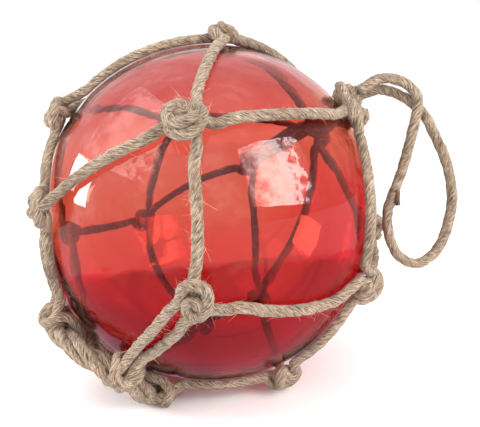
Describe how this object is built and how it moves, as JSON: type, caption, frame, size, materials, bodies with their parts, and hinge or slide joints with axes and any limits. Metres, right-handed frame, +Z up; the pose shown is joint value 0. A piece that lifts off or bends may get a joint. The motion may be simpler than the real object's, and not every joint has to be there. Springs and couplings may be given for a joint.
{
  "type": "glass float ball",
  "caption": "Hand-blown clear red glass fishing float in a knotted jute rope net with a hanging loop, a nautical ornament.",
  "frame": {"origin": "on the surface it stands on, below the middle of the box round the ball and its net", "axes": "+Z up, away from the surface; +X to the side where the hanging loop stands out of the net; -Y towards the viewer who sees the loop on the right"},
  "size_m": [0.1609, 0.1428, 0.1379],
  "materials": {
    "red_glass": "gloss, clear, slightly wavy",
    "jute_rope": "matt, hairy, three-strand twist"
  },
  "bodies": {
    "root": {"glass_ball": "red_glass", "rope_net": "jute_rope", "hanging_loop": "jute_rope"}
  },
  "joints": []
}
